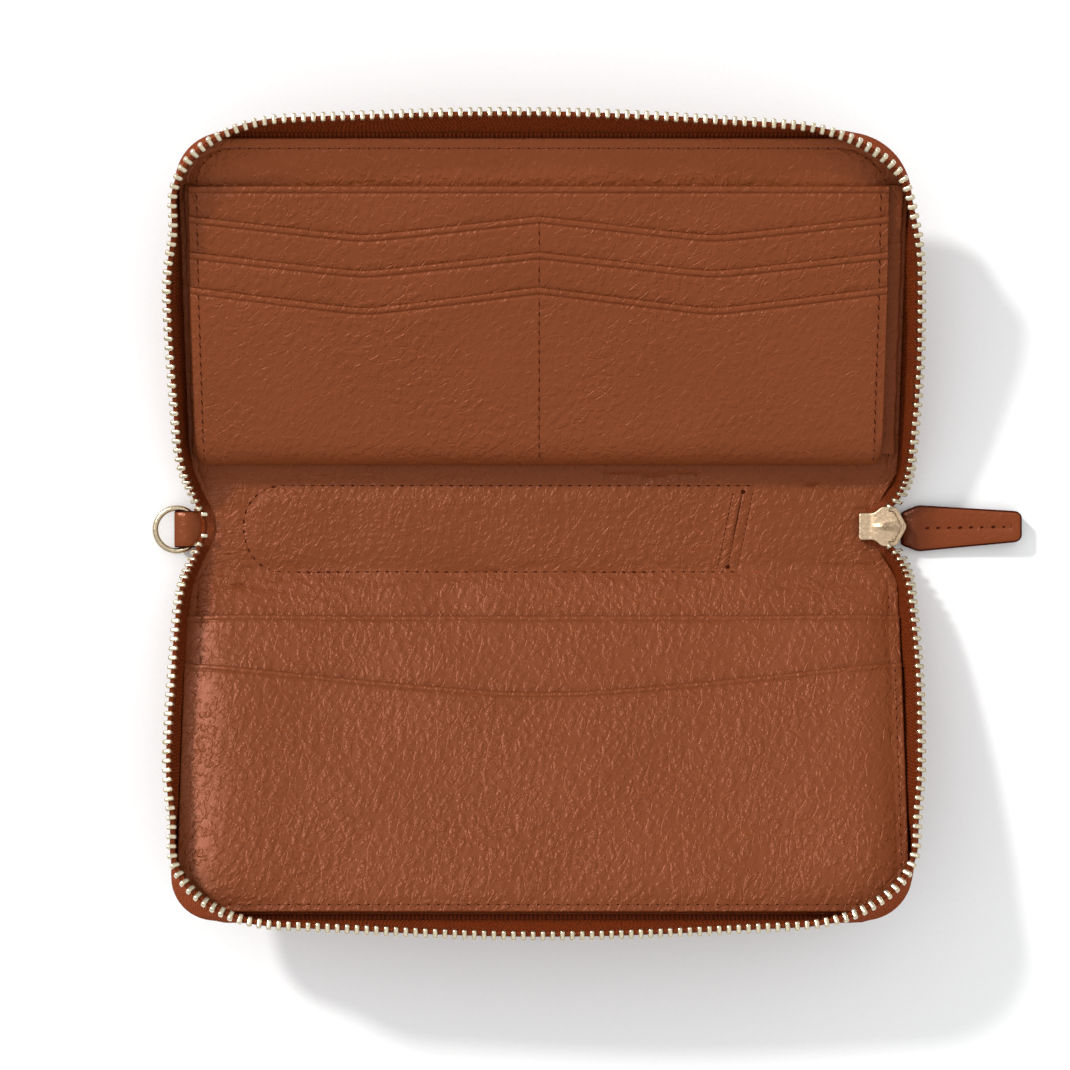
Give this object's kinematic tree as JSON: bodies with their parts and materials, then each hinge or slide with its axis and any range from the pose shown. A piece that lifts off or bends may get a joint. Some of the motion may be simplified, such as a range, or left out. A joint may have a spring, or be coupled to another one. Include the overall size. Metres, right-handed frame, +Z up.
{
  "type": "zip-around wallet",
  "caption": "Continental zip-around wallet in pebbled leather, open on its spine: gusseted card block, two full-width slip pockets, pen sleeve, metal zip with leather pull and side D-ring.",
  "frame": {"origin": "middle of the spine's outer face, on the plane the wallet rests on", "axes": "X along the spine towards the zip pull, Y towards the half with the card block, Z up out of the open wallet"},
  "size_m": [0.2358, 0.2184, 0.0405],
  "materials": {
    "pebbled_leather": "saddle-brown pebbled leather, semi-matt, with fine bright grain edges",
    "smooth_leather": "smooth saddle-brown leather with dark painted cut edges",
    "bonded_board": "bonded leather board, out of sight",
    "woven_tape": "herringbone woven polyester zip tape in rust brown",
    "light_gold_metal": "pale gold plated metal, satin"
  },
  "bodies": {
    "spine": {"spine_cover": "pebbled_leather", "spine_lining": "pebbled_leather", "pen_sleeve_backing": "pebbled_leather", "zip_bottom_stop": "light_gold_metal", "lower_tape_end_right": "woven_tape", "lower_tape_end_left": "woven_tape", "lower_zip_top_stop": "light_gold_metal", "upper_tape_end_right": "woven_tape", "upper_tape_end_left": "woven_tape", "upper_zip_top_stop": "light_gold_metal", "d_ring_tab": "smooth_leather"},
    "lower_half": {"lower_cover": "pebbled_leather", "lower_stiffener": "bonded_board", "lower_lining": "pebbled_leather", "lower_zip_tape": "woven_tape", "lower_zip_teeth": "light_gold_metal", "rear_slip_pocket": "pebbled_leather", "front_slip_pocket": "pebbled_leather"},
    "upper_half": {"upper_cover": "pebbled_leather", "upper_stiffener": "bonded_board", "upper_lining": "pebbled_leather", "upper_zip_tape": "woven_tape", "upper_zip_teeth": "light_gold_metal"},
    "card_block": {"card_block_back": "pebbled_leather", "card_block_face": "pebbled_leather", "card_row_top": "pebbled_leather", "card_row_middle": "pebbled_leather", "card_row_front": "pebbled_leather", "left_gusset": "pebbled_leather", "right_gusset": "pebbled_leather"},
    "slider": {"slider_body": "light_gold_metal", "slider_bail": "light_gold_metal"},
    "pull": {"pull_link": "light_gold_metal", "pull_front_leather": "smooth_leather", "pull_back_leather": "smooth_leather"},
    "d_ring": {"d_ring": "light_gold_metal"}
  },
  "joints": [
    {"name": "lower_fold", "type": "hinge", "parent": "spine", "child": "lower_half", "pos_m": [0, -0.0115, 0.001], "axis": [-1, 0, 0], "range_deg": [-16, 74]},
    {"name": "upper_fold", "type": "hinge", "parent": "spine", "child": "upper_half", "pos_m": [0, 0.0115, 0.001], "axis": [1, 0, 0], "range_deg": [-16, 74]},
    {"name": "card_block_tilt", "type": "hinge", "parent": "upper_half", "child": "card_block", "pos_m": [0, 0.01708, 0.00728], "axis": [1, 0, 0], "range_deg": [0, 8]},
    {"name": "zip_slide", "type": "slide", "parent": "spine", "child": "slider", "axis": [1, 0, 0], "range_m": [0, 0.005]},
    {"name": "pull_swing", "type": "hinge", "parent": "slider", "child": "pull", "pos_m": [0.0968, 0, 0.0012], "axis": [0, -1, 0], "range_deg": [-60, 25]},
    {"name": "d_ring_swing", "type": "hinge", "parent": "spine", "child": "d_ring", "pos_m": [-0.096, 0, 0.0024], "axis": [0, 1, 0], "range_deg": [-70, 60]}
  ]
}
